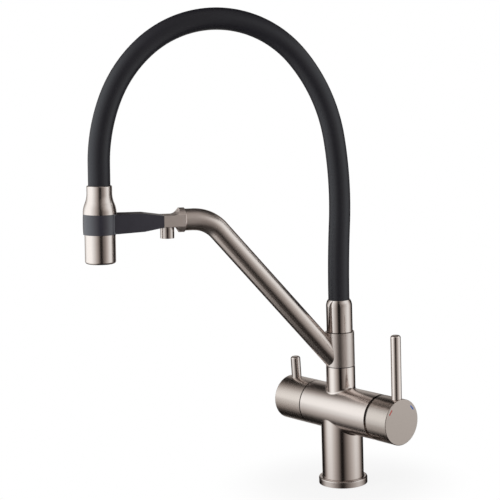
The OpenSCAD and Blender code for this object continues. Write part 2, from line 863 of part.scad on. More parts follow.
module filter_spindle() {
    square_x = valve_end;
    color(raw_brass)
    on_filter_handle() {
        rod(spindle_x, spindle_x + spindle_flange_t, valve_disc_d);
        rod(spindle_x, square_x, spindle_d);
        translate([-spindle_w / 2, -spindle_w / 2, square_x])
            cube([spindle_w, spindle_w, filter_cap_solid + spindle_l - square_x]);
    }
}

module filter_cap() {
    socket_w = spindle_w + 2 * fixed_fit;
    color(nickel)
    on_filter_handle()
    difference() {
        handle_cap(filter_cap_x, filter_cap_face, filter_cap_solid, cap_wall, filter_lever_x,
            filter_cap_solid + spindle_l - grub_d);
        translate([-socket_w / 2, -socket_w / 2, filter_cap_solid - past])
            cube([socket_w, socket_w, spindle_l + past]);
    }
}

module filter_lever() {
    color(nickel) on_filter_handle() lever_rod(filter_lever_top, filter_lever_x, filter_lever_edge_r);
}

module filter_grub_screw() {
    color(steel)
    on_filter_handle() grub_screw(filter_cap_solid + spindle_l - grub_d, spindle_w / 2 + fixed_fit);
}

// Riser and swivel

module riser_spigot() {
    groove_d = journal_d - 2 * o_ring_t;
    groove_w = o_ring_t + 0.6;
    channel_top = riser_top + chamber_low + filter_channel_d;
    color(raw_brass)
    difference() {
        union() {
            rod(riser_top - spigot_foot_h, riser_top, spigot_foot_d);
            rod(riser_top, journal_top, journal_d);
            rod(journal_top, neck_top, neck_d);
        }
        rod(riser_top - spigot_foot_h - past, neck_top + past, riser_bore_d);
        for (h = seal_heights)
            translate([0, 0, riser_top + h]) ring(-groove_w / 2, groove_w / 2, journal_d + past, groove_d);
        ring(riser_top + chamber_low, riser_top + chamber_high, journal_d + past, chamber_d);
        ring(circlip_z - face_gap, circlip_z + circlip_t + face_gap, neck_d + past, neck_d - 2 * circlip_t);
        translate([-channel_r, 0, 0])
            rod(riser_top - spigot_foot_h - past, channel_top, filter_channel_d);
        translate([0, 0, channel_top]) rotate([0, -90, 0])
            rod(channel_r, journal_d, filter_channel_d);
    }
}

module swivel_o_rings() {
    seal_r = journal_d / 2 + run_fit / 2 - o_ring_t / 2;
    color(seal_rubber)
    for (h = seal_heights) translate([0, 0, riser_top + h]) o_ring(seal_r, o_ring_t - run_fit);
}

module swivel_washer() {
    color(black_plastic) ring(riser_top, riser_top + washer_t, riser_d - 2.6, journal_d + 4 * run_fit);
}

module swivel_circlip() {
    opening_w = 5;
    inner_d = neck_d - 2 * circlip_t + 2 * fixed_fit;
    color(steel)
    difference() {
        ring(circlip_z, circlip_z + circlip_t, neck_d + 3, inner_d);
        translate([0, -opening_w / 2, circlip_z - past]) cube([neck_d, opening_w, circlip_t + 2 * past]);
    }
}

module swivel_collar() {
    color(nickel)
    difference() {
        rod(collar_z, collar_top, collar_d);
        rod(collar_z - past, ledge_z, journal_d + 2 * run_fit);
        rod(ledge_z - past, collar_top + past, neck_d + 2 * run_fit);
        rod(ledge_z + ledge_t, collar_top + past, journal_d);
        in_arm_plane() translate([0, riser_top + (chamber_low + chamber_high) / 2]) rotate([0, 90, 0])
            rod(0, collar_d, passage_d);
    }
}

// Arm

// Neighbouring lengths of a tube run on into each other, and every other one is a hair thicker
module tube_section(d, bore, proud) {
    difference() {
        circle(d = d + 2 * proud);
        circle(d = bore - 2 * proud);
    }
}

// Straight tube along x
module tube_run(length, d, bore, proud) {
    rotate([0, 90, 0]) rotate([0, 0, 90]) linear_extrude(length) tube_section(d, bore, proud);
}

// Bent tube that starts at the origin along x and turns to the right, or to the left by a negative angle
module tube_bend(r, a, d, bore, proud) {
    turn = abs(a) + lap_l / r * 180 / PI;
    translate([0, -sign(a) * r, 0]) rotate([0, 0, a > 0 ? 90 - turn : -90])
        rotate_extrude(angle = turn) translate([r, 0]) rotate([0, 0, a > 0 ? 0 : 180])
            tube_section(d, bore, proud);
}

module arm_tube() {
    bore = tube_d - 2 * tube_wall;
    color(nickel)
    difference() {
        union() {
            in_arm_plane() translate([0, arm_z]) rotate([0, 0, arm_slope]) {
                tube_run(slope_run + lap_l, tube_d, bore, 0);
                translate([slope_run, 0]) tube_bend(arm_bend_r, arm_turn, tube_d, bore, lap_t);
            }
            at_tip() translate([bend_tangent - arm_end, 0]) tube_run(arm_end - bend_tangent, tube_d, bore, 0);
        }
        rod(arm_z - collar_h, collar_top + collar_h, collar_d + 2 * fixed_fit);
    }
}

// Side outline of the fitting: collar, hollows and tongue
module fitting_outline() {
    half = fitting_d / 2;
    translate([0, -half]) square([fitting_collar, fitting_d]);
    translate([0, tongue_bottom]) square([tongue_end, tongue_h]);
    difference() {
        translate([fitting_collar, tongue_bottom - fitting_hollow_r])
            square([fitting_hollow_r, tongue_h + 2 * fitting_hollow_r]);
        for (y = [tongue_top + fitting_hollow_r, tongue_bottom - fitting_hollow_r])
            translate([hollow_x, y]) circle(r = fitting_hollow_r);
    }
}

module arm_fitting() {
    spigot_d = tube_d - 2 * tube_wall - 2 * fixed_fit;
    spigot_l = 9;
    bore_d = nipple_d - 3;
    color(nickel)
    difference() {
        union() {
            difference() {
                at_tip() intersection() {
                    translate([0, 0, -tongue_w / 2]) linear_extrude(tongue_w) fitting_outline();
                    rotate([0, 90, 0]) rod(0, tongue_end, fitting_d);
                }
                at_outlet() rod(0, fitting_d, outlet_d + 2 * fixed_fit);
            }
            at_tip() {
                rotate([0, 90, 0]) rod(-spigot_l, fitting_collar, spigot_d);
                translate([tongue_end - past, -tongue_drop - tenon_h / 2, -tenon_w / 2])
                    cube([tenon_l + past, tenon_h, tenon_w]);
            }
            at_outlet() rod(-past, nipple_l, nipple_d);
        }
        at_tip() rotate([0, 90, 0]) rod(-spigot_l - past, outlet_x + past, bore_d);
        at_outlet() rod(tongue_bottom - past, nipple_l + past, bore_d - 1);
        at_tip() holder_screw_body(fixed_fit);
    }
}

module filter_outlet() {
    color(nickel)
    at_outlet()
    difference() {
        rod(fixed_fit, outlet_l, outlet_d);
        rod(-past, outlet_l + past, nipple_d + 2 * fixed_fit);
    }
}

module filter_aerator() {
    hole_d = 1.2;
    hole_r = nipple_d / 4 + 0.4;
    hole_count = 10;
    plate_t = 2;
    color(white_plastic)
    at_outlet()
    difference() {
        rod(nipple_l, outlet_l - 1, nipple_d);
        rod(nipple_l - past, outlet_l - 1 - plate_t, nipple_d - 2);
        for (i = [1 : hole_count])
            rotate([0, 0, i * 360 / hole_count]) translate([hole_r, 0, 0]) rod(0, outlet_l, hole_d);
        rod(0, outlet_l, hole_d);
    }
}

// Holder

// The screw comes from below, with its head sunk into the holder's underside
module holder_screw_body(play) {
    head_y = -tongue_drop - tenon_h / 2 - screw_head_cover;
    translate([screw_x, 0, 0]) rotate([-90, 0, 0]) {
        rod(head_y, -tongue_drop + tenon_h / 2 - screw_head_cover + play, screw_d + 2 * play);
        rod(head_y - (play > 0 ? shoulder_down : screw_head_h), head_y, screw_head_d + 2 * play);
    }
}

module holder_screw() {
    color(steel) at_tip() holder_screw_body(0);
}

// Side outline of the holder's arm, from the fitting to the ring's axis
module holder_side() {
    x0 = tongue_end + fixed_fit;
    shoulder = tongue_end + shoulder_x;
    root = dock_reach - ring_d / 2;
    up = min(root_up, seat_y - face_gap);
    polygon([
        [x0, tongue_top], [shoulder, shoulder_up], [root, up], [dock_reach, up],
        [dock_reach, -root_down], [root, -root_down], [shoulder, -shoulder_down], [x0, tongue_bottom]
    ]);
}

// Plan outline of the holder's arm, with hollows where it meets the ring
module holder_plan() {
    half = holder_w / 2;
    fillet_y = half + root_fillet_r;
    fillet_x = dock_reach - sqrt(pow(ring_d / 2 + root_fillet_r, 2) - pow(fillet_y, 2));
    translate([tongue_end, -half]) square([dock_reach - tongue_end, holder_w]);
    for (side = [-1, 1])
        difference() {
            polygon([[fillet_x, 0], [fillet_x, side * fillet_y], [dock_reach, 0]]);
            translate([fillet_x, side * fillet_y]) circle(r = root_fillet_r);
        }
}

module head_holder() {
    tall = 2 * ring_h;
    color(black_plastic)
    difference() {
        union() {
            at_tip() {
                intersection() {
                    translate([0, 0, -ring_d]) linear_extrude(2 * ring_d) holder_side();
                    translate([0, tall / 2, 0]) rotate([90, 0, 0]) linear_extrude(tall) holder_plan();
                }
                translate([dock_reach - pad_back, (root_up - root_down) / 2, 0])
                    rod(-holder_w / 2 - pad_t, holder_w / 2 + pad_t, 2 * pad_r);
            }
            at_dock() rotate_extrude() ring_half();
        }
        at_dock() rod(-2 * ring_h, ring_h, ring_bore_d);
        at_tip() {
            translate([tongue_end - past, -tongue_drop - tenon_h / 2 - fixed_fit, -tenon_w / 2 - fixed_fit])
                cube([tenon_l + past + fixed_fit, tenon_h + 2 * fixed_fit, tenon_w + 2 * fixed_fit]);
            holder_screw_body(fixed_fit);
        }
        at_outlet() rod(-past - fixed_fit, outlet_l + past, outlet_d + 4 * fixed_fit);
    }
}

// Half outline of the holder's ring, bulging at its middle
module ring_half() {
    bulge_r = (ring_h * ring_h / 4 + ring_bulge * ring_bulge) / (2 * ring_bulge);
    translate([0, -ring_h])
    intersection() {
        square([ring_d, ring_h - face_gap]);
        translate([ring_d / 2 - bulge_r, ring_h / 2]) circle(r = bulge_r, $fn = 256);
    }
}

// Hose

module spout_hose() {
    last = len(turns);
    color(black_silicone)
    in_arm_plane() {
        translate([0, hose_start]) rotate([0, 0, heading(0)])
            tube_run(lower_run(arch_end) + lap_l, hose_d, hose_bore_d, 0);
        for (i = [0 : last - 1])
            translate(hose_corner(i)) rotate([0, 0, heading(i)])
                tube_bend(radii[i], turns[i], hose_d, hose_bore_d, i % 2 == 0 ? lap_t : 0);
        translate(hose_corner(last)) rotate([0, 0, heading(last)])
            tube_run(upper_run, hose_d, hose_bore_d, lap_t);
    }
}

// Half outline of the ferrule: straight, then curving in to its mouth
module ferrule_half() {
    r = ferrule_d / 2;
    straight = ferrule_h - ferrule_shoulder;
    drop = r - hose_seat_d / 2 - ferrule_lip;
    sweep_r = (ferrule_shoulder * ferrule_shoulder + drop * drop) / (2 * drop);
    square([r, straight]);
    intersection() {
        translate([0, straight]) square([r, ferrule_shoulder]);
        translate([r - sweep_r, straight]) circle(r = sweep_r, $fn = 128);
    }
}

module hose_ferrule() {
    color(nickel)
    difference() {
        union() {
            translate([0, 0, collar_top]) rotate_extrude() ferrule_half();
            rod(collar_top - plug_h, collar_top, journal_d - 2 * fixed_fit);
        }
        rod(neck_top, ferrule_top + past, hose_bore_d + 2 * fixed_fit);
        rod(tail_z, ferrule_top + past, hose_seat_d);
    }
}

// Barbed tail that the hose is pushed onto: z0 is its flange's foot
module hose_tail(z0, foot, flange_d, length) {
    barb_h = 4;
    barb_count = 3;
    root_d = barb_d - 1.2;
    difference() {
        union() {
            rod(z0 - foot, z0 + length, root_d);
            rod(z0, z0 + tail_flange_t, flange_d);
            for (i = [1 : barb_count])
                translate([0, 0, z0 + length - i * barb_h]) cylinder(d1 = barb_d, d2 = root_d, h = barb_h);
        }
        rod(z0 - foot - past, z0 + length + past, riser_bore_d);
    }
}

module riser_hose_tail() {
    color(raw_brass) hose_tail(tail_z + tail_seal_t, ferrule_floor, hose_d - 2 * fixed_fit, 20);
}

module hose_tail_seal() {
    color(seal_rubber) ring(tail_z, tail_z + tail_seal_t, hose_d - 2 * fixed_fit, hose_bore_d);
}

// Spray head

// Half outline of the bell: straight foot, two arcs that swing into each other, straight neck
module bell_half() {
    foot_r = bell_d / 2;
    neck_r = bell_neck_d / 2;
    half_w = (foot_r - neck_r) / 2;
    half_h = bell_curve / 2;
    swing_r = (half_w * half_w + half_h * half_h) / (2 * half_w);
    middle_h = bell_foot + half_h;
    curve_top = bell_foot + bell_curve;
    square([foot_r, bell_foot]);
    intersection() {
        translate([0, bell_foot]) square([foot_r, half_h]);
        translate([foot_r - swing_r, bell_foot]) circle(r = swing_r, $fn = 128);
    }
    difference() {
        translate([0, middle_h]) square([foot_r, half_h]);
        translate([neck_r + swing_r, curve_top]) circle(r = swing_r, $fn = 128);
        translate([foot_r - half_w, middle_h]) square([half_w + past, half_h]);
    }
    translate([0, curve_top]) turned_half(neck_r, bell_h - curve_top, 1);
}

module head_bell() {
    color(nickel)
    at_dock()
    difference() {
        rotate_extrude() bell_half();
        rod(-past, head_tail_h + tail_flange_t + fixed_fit, shell_spigot_d + 2 * fixed_fit);
        rod(-past, bell_h + past, hose_seat_d);
    }
}

module head_shell() {
    color(nickel)
    at_dock()
    difference() {
        union() {
            mirror([0, 0, 1]) rotate_extrude() turned_half(shell_d / 2, -shell_low, shell_edge_r);
            rod(-past, shell_spigot_h, shell_spigot_d);
        }
        rod(shell_low - past, shell_spigot_h + past, nozzle_d - 2);
        rod(shell_low - past, shell_low + nozzle_h, nozzle_d + 2 * fixed_fit);
    }
}

module head_nozzle() {
    plate_t = 3;
    wall = 1.4;
    dish_t = 1;
    color(black_plastic)
    at_dock()
    difference() {
        rod(nozzle_z, shell_low + nozzle_h, nozzle_d);
        rod(nozzle_z + plate_t, shell_low + nozzle_h + past, nozzle_d - 2 * wall);
        rod(nozzle_z - past, nozzle_z + dish_t, nozzle_d / 2);
        for (i = [1 : jet_count])
            rotate([0, 0, i * 360 / jet_count]) translate([nozzle_d * 0.36, 0, 0])
                rod(nozzle_z - past, nozzle_z + plate_t + past, jet_d);
    }
}

module head_seal() {
    color(seal_rubber)
    at_dock() ring(shell_spigot_h, shell_spigot_h + head_seal_t, shell_spigot_d, nozzle_d - 2);
}

module head_hose_tail() {
    color(raw_brass)
    at_dock() hose_tail(head_tail_h, 0, shell_spigot_d, bell_h - head_tail_h - 2);
}

base_flange();
deck_gasket();
tap_body();
cartridge_housing();
cartridge_seals();
fixed_disc();
cartridge_nut();
filter_valve_body();
filter_fixed_disc();
filter_seat_seal();
riser_spigot();
swivel_o_rings();
swivel_washer();
swivel_circlip();
swivel_collar();
arm_tube();
arm_fitting();
filter_outlet();
filter_aerator();
head_holder();
holder_screw();
hose_ferrule();
riser_hose_tail();
hose_tail_seal();
spout_hose();
head_bell();
head_shell();
head_hose_tail();
head_seal();
head_nozzle();
cartridge_carrier();
pivot_pin();
disc_driver();
moving_disc();
cartridge_stem();
mixer_cap();
mixer_lever();
mixer_grub_screw();
hot_mark();
cold_mark();
filter_spindle();
filter_moving_disc();
filter_cap();
filter_lever();
filter_grub_screw();
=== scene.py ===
import math
import bmesh
import bpy
from mathutils import Matrix, Vector


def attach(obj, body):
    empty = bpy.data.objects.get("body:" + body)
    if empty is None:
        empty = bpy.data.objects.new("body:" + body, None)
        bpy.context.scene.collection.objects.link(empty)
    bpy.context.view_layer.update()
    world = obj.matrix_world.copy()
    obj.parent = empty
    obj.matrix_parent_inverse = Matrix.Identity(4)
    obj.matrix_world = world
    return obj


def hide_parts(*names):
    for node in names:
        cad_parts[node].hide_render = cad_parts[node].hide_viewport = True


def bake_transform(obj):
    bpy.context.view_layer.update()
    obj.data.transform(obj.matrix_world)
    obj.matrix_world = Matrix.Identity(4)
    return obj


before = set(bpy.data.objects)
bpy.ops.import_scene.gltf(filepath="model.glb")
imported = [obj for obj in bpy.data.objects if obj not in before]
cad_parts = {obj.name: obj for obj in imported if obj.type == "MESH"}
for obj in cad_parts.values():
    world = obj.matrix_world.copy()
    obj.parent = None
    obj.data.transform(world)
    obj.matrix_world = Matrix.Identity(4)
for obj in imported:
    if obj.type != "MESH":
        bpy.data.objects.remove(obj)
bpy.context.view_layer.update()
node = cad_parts


# Base flange. A ring turned from brass bar, brushed round its rim and nickel plated; it covers the
# edge of the deck hole and the foot of the column stands in it.
NICKEL_DARK = (0.69, 0.612, 0.578, 1)
NICKEL_LIGHT = (0.75, 0.666, 0.632, 1)
JOINT_SHADOW = (0.10, 0.085, 0.08, 1)
METAL = {"Metallic": 1.0}
ROUND_Z = (25.0, 25.0, 1700.0)
FLANGE_BORE_EDGE = (0.0215, 0.0228)


class Sock:
    """A socket of a shader tree. Sums and products of sockets make the Math nodes."""

    def __init__(self, tree, socket):
        self.tree = tree
        self.socket = socket

    def feed(self, target, value):
        if isinstance(value, Sock):
            self.tree.links.new(value.socket, target)
        else:
            target.default_value = value

    def make(self, kind, settings, sockets, out=0):
        made = self.tree.nodes.new(kind)
        for key, value in settings.items():
            setattr(made, key, value)
        for key, value in sockets.items():
            self.feed(made.inputs[key], value)
        return Sock(self.tree, made.outputs[out])

    def maths(self, operation, first, second=0.0):
        return self.make("ShaderNodeMath", {"operation": operation}, {0: first, 1: second})

    def __add__(self, other):
        return self.maths("ADD", self, other)

    def __radd__(self, other):
        return self.maths("ADD", other, self)

    def __sub__(self, other):
        return self.maths("SUBTRACT", self, other)

    def __rsub__(self, other):
        return self.maths("SUBTRACT", other, self)

    def __mul__(self, other):
        return self.maths("MULTIPLY", self, other)

    def __rmul__(self, other):
        return self.maths("MULTIPLY", other, self)

    def rise(self, low, high, smooth=True):
        """0 below low, 1 above high."""
        kind = "SMOOTHSTEP" if smooth else "LINEAR"
        return self.make("ShaderNodeMapRange", {"interpolation_type": kind},
                         {"Value": self, "From Min": low, "From Max": high})

    def fall(self, low, high, smooth=True):
        """1 below low, 0 above high."""
        return 1.0 - self.rise(low, high, smooth)

    def part(self, axis):
        return self.make("ShaderNodeSeparateXYZ", {}, {"Vector": self}, "XYZ".index(axis))

    def stretched(self, scale):
        return self.make("ShaderNodeVectorMath", {"operation": "MULTIPLY"}, {0: self, 1: scale})

    def noise(self, scale, detail):
        return self.make("ShaderNodeTexNoise", {}, {"Vector": self, "Scale": scale, "Detail": detail})

    def mix(self, first, second):
        return self.make("ShaderNodeMix", {"data_type": "RGBA"}, {0: self, 6: first, 7: second}, 2)

    def bump(self, strength, distance):
        return self.make("ShaderNodeBump", {},
                         {"Strength": strength, "Distance": distance, "Height": self})


def new_paint(name, fixed):
    """A material with fixed values on its shader, and the object's own coordinates to paint by."""
    material = bpy.data.materials.new(name)
    material.use_nodes = True
    tree = material.node_tree
    surface = tree.nodes["Principled BSDF"]
    for key, value in fixed.items():
        surface.inputs[key].default_value = value
    place = Sock(tree, tree.nodes.new("ShaderNodeTexCoord").outputs["Object"])
    return material, surface, place


def coat(piece, material):
    piece.data.materials.clear()
    piece.data.materials.append(material)


def brush_lines(place, lines):
    """Grain of fine brush lines; lines is its stretch in cycles a metre on each axis."""
    return place.stretched(lines).noise(scale=1.0, detail=3.0)


def nickel_skin(surface, place, grain, roughness, shade, joint_shade=None):
    """Tone, gloss and fine relief of satin nickel, from the grain of its brush lines.

    shade makes the tone lighter or darker as painted light, and the skin is painted dark, as painted
    shade in a joint, where the joint mask is 1."""
    cloud = place.noise(scale=35.0, detail=2.0)
    tone = (0.75 * grain + 0.25 * cloud).mix(NICKEL_DARK, NICKEL_LIGHT)
    tone = tone.stretched(shade if isinstance(shade, Sock) else (shade, shade, shade))
    # Painted shade: a dark line where this piece meets another.
    if joint_shade is not None:
        tone = joint_shade.mix(tone, JOINT_SHADOW)
    place.feed(surface.inputs["Base Color"], tone)
    place.feed(surface.inputs["Roughness"], roughness - 0.025 + 0.03 * grain + 0.02 * cloud)
    place.feed(surface.inputs["Normal"], grain.bump(strength=0.012, distance=0.0002))


def brushed_nickel(name, lines, roughness=0.20, shade=1.0, joint=None):
    """Nickel with brush lines one way, made lighter or darker by shade as painted light; joint gives
    the painted shade at the seam next to another piece.
    """
    material, surface, place = new_paint(name, METAL)
    joint_shade = joint(place) if joint else None
    nickel_skin(surface, place, brush_lines(place, lines), roughness, shade, joint_shade)
    return material


def column_joint_shade(place):
    """Mask of the painted shade on the flange's top next to the column: 1 there."""
    x, y = place.part("X"), place.part("Y")
    return place.maths("SQRT", x * x + y * y).fall(*FLANGE_BORE_EDGE)


# The flange's nickel is painted darker, as painted shade, and painted shade lines its top next to the
# column.
coat(node["base_flange"], brushed_nickel("flange nickel", ROUND_Z, roughness=0.24, shade=0.84,
                                         joint=column_joint_shade))


# Deck gasket. A black rubber ring pressed into the groove under the column, which keeps water out
# of the deck hole.
def moulded(name, dark, light, roughness, grain_scale=900.0, fixed=None):
    """Moulded rubber or plastic: a slightly cloudy colour under a fine grain."""
    material, surface, place = new_paint(name, fixed or {})
    cloud = place.noise(scale=60.0, detail=3.0)
    grain = place.noise(grain_scale, detail=2.0)
    place.feed(surface.inputs["Base Color"], cloud.mix((*dark, 1), (*light, 1)))
    place.feed(surface.inputs["Roughness"], roughness - 0.06 + 0.12 * grain)
    place.feed(surface.inputs["Normal"], grain.bump(strength=0.08, distance=0.0002))
    return material


black_rubber = moulded("black rubber", (0.014, 0.014, 0.015), (0.022, 0.022, 0.023), roughness=0.62)
coat(node["deck_gasket"], black_rubber)


# Tap body. One brass casting of column, barrel and riser stub, linished round each of them and
# nickel plated; its corners are ground out to a small radius where the barrel meets the uprights.
ROUND_X = (1700.0, 25.0, 25.0)
BARREL_R = 0.023
BARREL_Z = 0.0778
COLUMN_R = 0.02135
RISER_R = 0.01485
COLUMN_CORNER_R = 0.002
RISER_CORNER_R = 0.0025


def cast_nickel(name):
    """Nickel brushed round X on the barrel, and round Z on the uprights, which are glossier."""
    material, surface, place = new_paint(name, METAL)
    across = place.part("Y")
    height = place.part("Z") - BARREL_Z
    off_axis = place.maths("SQRT", across * across + height * height)
    upright = off_axis.rise(BARREL_R + 0.0001, BARREL_R + 0.0006)
    riser = upright * height.rise(0.0, 0.01)
    around_x, around_z = brush_lines(place, ROUND_X), brush_lines(place, ROUND_Z)
    grain = around_x + upright * (around_z - around_x)
    roughness = 0.25 - 0.09 * upright - 0.03 * riser
    # Painted light: the barrel's nickel is made darker and the uprights' lighter, the riser's most.
    shade = 0.96 + 0.04 * upright + 0.05 * riser
    nickel_skin(surface, place, grain, roughness, shade)
    return material


body_nickel = cast_nickel("body nickel")
coat(node["tap_body"], body_nickel)


def join_rows(shape, rows, closed, flip=False):
    """Faces between neighbouring rows of points, and between the last row and the first."""
    for i, here in enumerate(rows):
        there = rows[(i + 1) % len(rows)]
        for k in range(len(here) if closed else len(here) - 1):
            n = (k + 1) % len(here)
            corners = (here[k], there[k], there[n], here[n])
            shape.faces.new(corners[::-1] if flip else corners)


def placed(name, data):
    """A new object at the origin, for a mesh, a lamp or a camera."""
    made = bpy.data.objects.new(name, data)
    bpy.context.scene.collection.objects.link(made)
    return made


def smooth_piece(name, shape):
    mesh = bpy.data.meshes.new(name)
    shape.to_mesh(mesh)
    shape.free()
    for face in mesh.polygons:
        face.use_smooth = True
    return placed(name, mesh)


def corner_radius(name, upright_r, corner_r, above):
    """Ground corner between an upright on Z and the barrel, as the path of a ball that touches both."""
    steps, points = 144, 9
    reach = upright_r + corner_r
    shape = bmesh.new()
    rows = []
    for i in range(steps):
        turn = 2 * math.pi * i / steps
        x, y = reach * math.cos(turn), reach * math.sin(turn)
        off = math.sqrt((BARREL_R + corner_r) ** 2 - y * y)
        ball = Vector((x, y, BARREL_Z + (off if above else -off)))
        on_upright = Vector((upright_r * math.cos(turn), upright_r * math.sin(turn), ball.z)) - ball
        on_barrel = (Vector((x, 0, BARREL_Z)) - ball).normalized() * corner_r
        angle = on_upright.angle(on_barrel)
        row = []
        for k in range(points):
            share = k / (points - 1)
            a = math.sin((1 - share) * angle) / math.sin(angle)
            b = math.sin(share * angle) / math.sin(angle)
            row.append(shape.verts.new(ball + a * on_upright + b * on_barrel))
        rows.append(row)
    join_rows(shape, rows, closed=False, flip=above)
    piece = smooth_piece(name, shape)
    coat(piece, body_nickel)
    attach(piece, "fixed_body")


corner_radius("riser_corner", RISER_R, RISER_CORNER_R, above=True)
corner_radius("column_corner", COLUMN_R, COLUMN_CORNER_R, above=False)


# Mixer cartridge housing. A cup moulded in white acetal that stands on the floor of the barrel and
# carries the fixed disc and the turning carrier.
white_acetal = moulded("white acetal", (0.74, 0.74, 0.71), (0.83, 0.83, 0.80), roughness=0.42)
coat(node["cartridge_housing"], white_acetal)


# Cartridge seals. Three small rings moulded in black rubber, pressed under the cartridge round the
# ports of its fixed disc.
coat(node["cartridge_seals"], black_rubber)


# Fixed disc of the mixer. Sintered alumina, lapped flat, with the three ports through it; it sits
# still in the housing.
def alumina(name):
    material, surface, place = new_paint(name, {})
    cloud = place.noise(scale=120.0, detail=3.0)
    polish = place.noise(scale=700.0, detail=2.0)
    place.feed(surface.inputs["Base Color"], cloud.mix((0.82, 0.80, 0.74, 1), (0.90, 0.89, 0.85, 1)))
    place.feed(surface.inputs["Roughness"], 0.16 + 0.10 * polish)
    return material


ceramic = alumina("alumina")
coat(node["fixed_disc"], ceramic)


# Cartridge nut. A ring nut turned from brass rod, left unplated, that clamps the cartridge into the
# barrel.
BRASS_DARK, BRASS_LIGHT = (0.66, 0.48, 0.22), (0.80, 0.62, 0.33)
BRASS_ROUGHNESS = 0.24


def turned_metal(name, dark, light, lines, roughness):
    """Bare metal with the fine rings that the turning tool leaves."""
    material, surface, place = new_paint(name, METAL)
    grain = place.stretched(lines).noise(scale=1.0, detail=2.0)
    cloud = place.noise(scale=80.0, detail=2.0)
    tone = (0.6 * grain + 0.4 * cloud).mix((*dark, 1), (*light, 1))
    place.feed(surface.inputs["Base Color"], tone)
    place.feed(surface.inputs["Roughness"], roughness + 0.10 * grain)
    place.feed(surface.inputs["Normal"], grain.bump(strength=0.05, distance=0.0002))
    return material


brass_on_x = turned_metal("brass turned on x", BRASS_DARK, BRASS_LIGHT, ROUND_X, BRASS_ROUGHNESS)
coat(node["cartridge_nut"], brass_on_x)


# Filter valve body. Headwork turned from brass bar and screwed into the other end of the barrel; it
# holds both discs of the filter valve.
coat(node["filter_valve_body"], brass_on_x)


# Fixed disc of the filter valve. Sintered alumina, lapped flat, with one pair of ports; it sits still
# in the headwork.
coat(node["filter_fixed_disc"], ceramic)


# Filter seat seal. A ring moulded in black rubber and pressed under the headwork, at the mouth of its
# waterway.
coat(node["filter_seat_seal"], black_rubber)


# Riser spigot. Brass journal screwed into the riser; the spout turns on it, and it has separate
# channels for mixed and for filtered water.
brass_on_z = turned_metal("brass turned on z", BRASS_DARK, BRASS_LIGHT, ROUND_Z, BRASS_ROUGHNESS)
coat(node["riser_spigot"], brass_on_z)


# Swivel o-rings. Rings moulded in black rubber, stretched into the grooves of the spigot, that seal
# the collar's chamber for filtered water.
coat(node["swivel_o_rings"], black_rubber)


# Swivel washer. A thin slip ring of black nylon between riser and collar, set back a little, so that it
# shows as a dark line.
black_nylon = moulded("black nylon", (0.025, 0.024, 0.036), (0.033, 0.0315, 0.047), roughness=0.30,
                      grain_scale=1400.0, fixed={"Specular IOR Level": 1.0})
coat(node["swivel_washer"], black_nylon)


# Swivel circlip. Ring of sprung steel, snapped into a groove of the spigot, that keeps the collar
# on it.
STEEL_DARK, STEEL_LIGHT = (0.52, 0.52, 0.53), (0.66, 0.66, 0.67)
STEEL_ROUGHNESS = 0.26
steel_on_z = turned_metal("steel turned on z", STEEL_DARK, STEEL_LIGHT, ROUND_Z, STEEL_ROUGHNESS)
coat(node["swivel_circlip"], steel_on_z)


# Swivel collar. Turned brass sleeve that runs on the spigot, nickel plated and brushed round; the arm
# is brazed into its side.
# Its nickel is painted a little darker, as painted shade.
coat(node["swivel_collar"], brushed_nickel("collar nickel", ROUND_Z, roughness=0.33, shade=0.92))


# Arm tube. Drawn tube bent once near its end, brushed round on a belt before plating, so that the lines
# follow the bend.
ARM_TURN = math.radians(-114.8)
ARM_SLOPE = math.radians(50.1)
BEND_REACH = (0.123, 0.148)
PAST_BEND_SHIFT = 0.1685


def bent_tube_nickel(name):
    """Nickel with its lines round the climbing tube and, past the bend, round its level end."""
    material, surface, place = new_paint(name, METAL)
    x, y, up = (place.part(axis) for axis in "XYZ")
    reach = x * math.cos(ARM_TURN) + y * math.sin(ARM_TURN)
    across = y * math.cos(ARM_TURN) - x * math.sin(ARM_TURN)
    climbing = reach * math.cos(ARM_SLOPE) + up * math.sin(ARM_SLOPE)
    past_bend = reach.rise(*BEND_REACH)
    along = climbing + past_bend * (reach + PAST_BEND_SHIFT - climbing)
    way = place.make("ShaderNodeCombineXYZ", {}, {0: along, 1: across, 2: up})
    grain = brush_lines(way, ROUND_X)
    roughness = 0.26 + 0.14 * past_bend
    # Painted light: past the bend the nickel is made lighter.
    shade = 1.0 + 0.15 * past_bend
    nickel_skin(surface, place, grain, roughness, shade)
    return material


coat(node["arm_tube"], bent_tube_nickel("tube nickel"))


# Arm fitting. A small brass casting brazed on the end of the tube, blasted matt and plated, with a
# collar, a flat tongue and a tenon that goes into the holder; a narrow bead of the brazing shows round
# the tube next to it.
TIP_REACH, TIP_Z = 0.158090, 0.282433
TIP_SLOPE = math.radians(1.6)
BEAD_R = 0.0108
BEAD_T = 0.0006
BEAD_BACK = 0.7 * BEAD_T
BLASTED = (300.0, 300.0, 300.0)
# Its nickel is painted a quarter lighter, as painted light.
coat(node["arm_fitting"], brushed_nickel("fitting nickel", BLASTED, roughness=0.50, shade=1.25))


def upright_point(reach, z):
    """Point in the upright plane of arm and hose."""
    return Vector((reach * math.cos(ARM_TURN), reach * math.sin(ARM_TURN), z))


